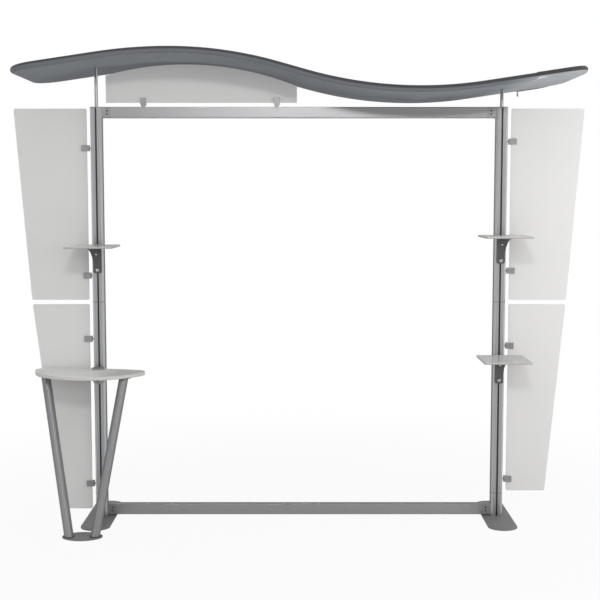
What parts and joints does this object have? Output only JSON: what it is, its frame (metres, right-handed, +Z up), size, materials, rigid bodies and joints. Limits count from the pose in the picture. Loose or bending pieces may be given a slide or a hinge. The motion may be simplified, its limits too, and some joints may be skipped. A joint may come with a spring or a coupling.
{
  "type": "modular trade show display",
  "caption": "Free-standing display frame with wave canopy, frosted side wings and header, slotted uprights with height-adjustable shelves, and an attached oval counter.",
  "frame": {"origin": "on the floor under the middle of the whole outline: midway between the two uprights, 53.8 mm in front of the plane through their centres", "axes": "+X along the display to the viewer's right, +Y from the front to the back, +Z up"},
  "size_m": [2.9664, 0.8184, 2.4394],
  "materials": {
    "anodised_aluminium": "satin anodised",
    "steel_grey": "satin grey powder coat",
    "cast_grey": "bead-blasted casting",
    "lock_steel": "blackened steel",
    "bright_steel": "bright zinc plate",
    "gunmetal": "dark textured coat",
    "zip_metal": "nickel plated",
    "canopy_fabric": "stretched polyester knit",
    "frosted_acrylic": "frosted translucent",
    "clear_acrylic": "clear with polished edges",
    "counter_acrylic": "frosted, satin top"
  },
  "bodies": {
    "display": {"foot_plate_left": "steel_grey", "foot_plate_right": "steel_grey", "foot_bolts": "bright_steel", "base_post_left": "anodised_aluminium", "base_post_right": "anodised_aluminium", "lower_post_left": "anodised_aluminium", "lower_post_right": "anodised_aluminium", "upper_post_left": "anodised_aluminium", "upper_post_right": "anodised_aluminium", "post_joiners": "bright_steel", "post_caps": "cast_grey", "top_bar_left": "anodised_aluminium", "top_bar_right": "anodised_aluminium", "bottom_bar_left": "anodised_aluminium", "bottom_bar_right": "anodised_aluminium", "bar_joiners": "bright_steel", "bar_end_blocks": "cast_grey", "lock_hooks": "bright_steel", "canopy_frame": "anodised_aluminium", "canopy_cover": "canopy_fabric", "canopy_post_left": "anodised_aluminium", "canopy_post_right": "anodised_aluminium", "canopy_saddles": "gunmetal", "zip_slider": "zip_metal", "header_panel": "frosted_acrylic", "header_clamps": "anodised_aluminium", "wing_upper_left": "frosted_acrylic", "wing_upper_right": "frosted_acrylic", "wing_lower_left": "frosted_acrylic", "wing_lower_right": "frosted_acrylic", "wing_clamps": "anodised_aluminium", "counter_top": "counter_acrylic", "counter_hub": "anodised_aluminium", "counter_fixings": "bright_steel", "counter_leg_left": "anodised_aluminium", "counter_leg_right": "anodised_aluminium", "leg_flanges": "steel_grey", "counter_base": "steel_grey"},
    "shelf_left_carriage": {"bracket_left": "gunmetal", "shelf_left": "clear_acrylic", "shelf_fixings_left": "bright_steel"},
    "shelf_right_carriage": {"bracket_right": "gunmetal", "shelf_right": "clear_acrylic", "shelf_fixings_right": "bright_steel"},
    "shelf_low_carriage": {"bracket_low": "gunmetal", "shelf_low": "clear_acrylic", "shelf_fixings_low": "bright_steel"},
    "clamp_left": {"clamp_screw_left": "bright_steel"},
    "clamp_right": {"clamp_screw_right": "bright_steel"},
    "clamp_low": {"clamp_screw_low": "bright_steel"},
    "zip_tab": {"zip_pull": "zip_metal"},
    "lock_top_left_upper_cam": {"lock_top_left_upper": "lock_steel"},
    "lock_top_left_lower_cam": {"lock_top_left_lower": "lock_steel"},
    "lock_top_right_upper_cam": {"lock_top_right_upper": "lock_steel"},
    "lock_top_right_lower_cam": {"lock_top_right_lower": "lock_steel"},
    "lock_bottom_left_upper_cam": {"lock_bottom_left_upper": "lock_steel"},
    "lock_bottom_left_lower_cam": {"lock_bottom_left_lower": "lock_steel"},
    "lock_bottom_right_upper_cam": {"lock_bottom_right_upper": "lock_steel"},
    "lock_bottom_right_lower_cam": {"lock_bottom_right_lower": "lock_steel"}
  },
  "joints": [
    {"name": "shelf_left_height", "type": "slide", "parent": "display", "child": "shelf_left_carriage", "axis": [0, 0, 1], "range_m": [-0.45, 0.6]},
    {"name": "shelf_right_height", "type": "slide", "parent": "display", "child": "shelf_right_carriage", "axis": [0, 0, 1], "range_m": [-0.2, 0.55]},
    {"name": "shelf_low_height", "type": "slide", "parent": "display", "child": "shelf_low_carriage", "axis": [0, 0, 1], "range_m": [-0.5, 0.2]},
    {"name": "clamp_screw_left_turn", "type": "hinge", "parent": "shelf_left_carriage", "child": "clamp_left", "pos_m": [-1.053, 0.0098, 1.324], "axis": [0, -1, 0], "continuous": true},
    {"name": "clamp_screw_right_turn", "type": "hinge", "parent": "shelf_right_carriage", "child": "clamp_right", "pos_m": [1.053, 0.0098, 1.374], "axis": [0, -1, 0], "continuous": true},
    {"name": "clamp_screw_low_turn", "type": "hinge", "parent": "shelf_low_carriage", "child": "clamp_low", "pos_m": [1.053, 0.0098, 0.742], "axis": [0, -1, 0], "continuous": true},
    {"name": "lock_top_left_upper_turn", "type": "hinge", "parent": "display", "child": "lock_top_left_upper_cam", "pos_m": [-0.996, 0.035, 2.1475], "axis": [0, -1, 0], "range_deg": [0, 180]},
    {"name": "lock_top_left_lower_turn", "type": "hinge", "parent": "display", "child": "lock_top_left_lower_cam", "pos_m": [-0.996, 0.035, 2.1315], "axis": [0, -1, 0], "range_deg": [0, 180]},
    {"name": "lock_top_right_upper_turn", "type": "hinge", "parent": "display", "child": "lock_top_right_upper_cam", "pos_m": [0.996, 0.035, 2.1475], "axis": [0, -1, 0], "range_deg": [0, 180]},
    {"name": "lock_top_right_lower_turn", "type": "hinge", "parent": "display", "child": "lock_top_right_lower_cam", "pos_m": [0.996, 0.035, 2.1315], "axis": [0, -1, 0], "range_deg": [0, 180]},
    {"name": "lock_bottom_left_upper_turn", "type": "hinge", "parent": "display", "child": "lock_bottom_left_upper_cam", "pos_m": [-0.996, 0.035, 0.0505], "axis": [0, -1, 0], "range_deg": [0, 180]},
    {"name": "lock_bottom_left_lower_turn", "type": "hinge", "parent": "display", "child": "lock_bottom_left_lower_cam", "pos_m": [-0.996, 0.035, 0.0345], "axis": [0, -1, 0], "range_deg": [0, 180]},
    {"name": "lock_bottom_right_upper_turn", "type": "hinge", "parent": "display", "child": "lock_bottom_right_upper_cam", "pos_m": [0.996, 0.035, 0.0505], "axis": [0, -1, 0], "range_deg": [0, 180]},
    {"name": "lock_bottom_right_lower_turn", "type": "hinge", "parent": "display", "child": "lock_bottom_right_lower_cam", "pos_m": [0.996, 0.035, 0.0345], "axis": [0, -1, 0], "range_deg": [0, 180]},
    {"name": "zip_tab_swing", "type": "hinge", "parent": "display", "child": "zip_tab", "pos_m": [1.196, 0.3918, 2.27721], "axis": [1, 0, 0], "range_deg": [-60, 60]}
  ]
}
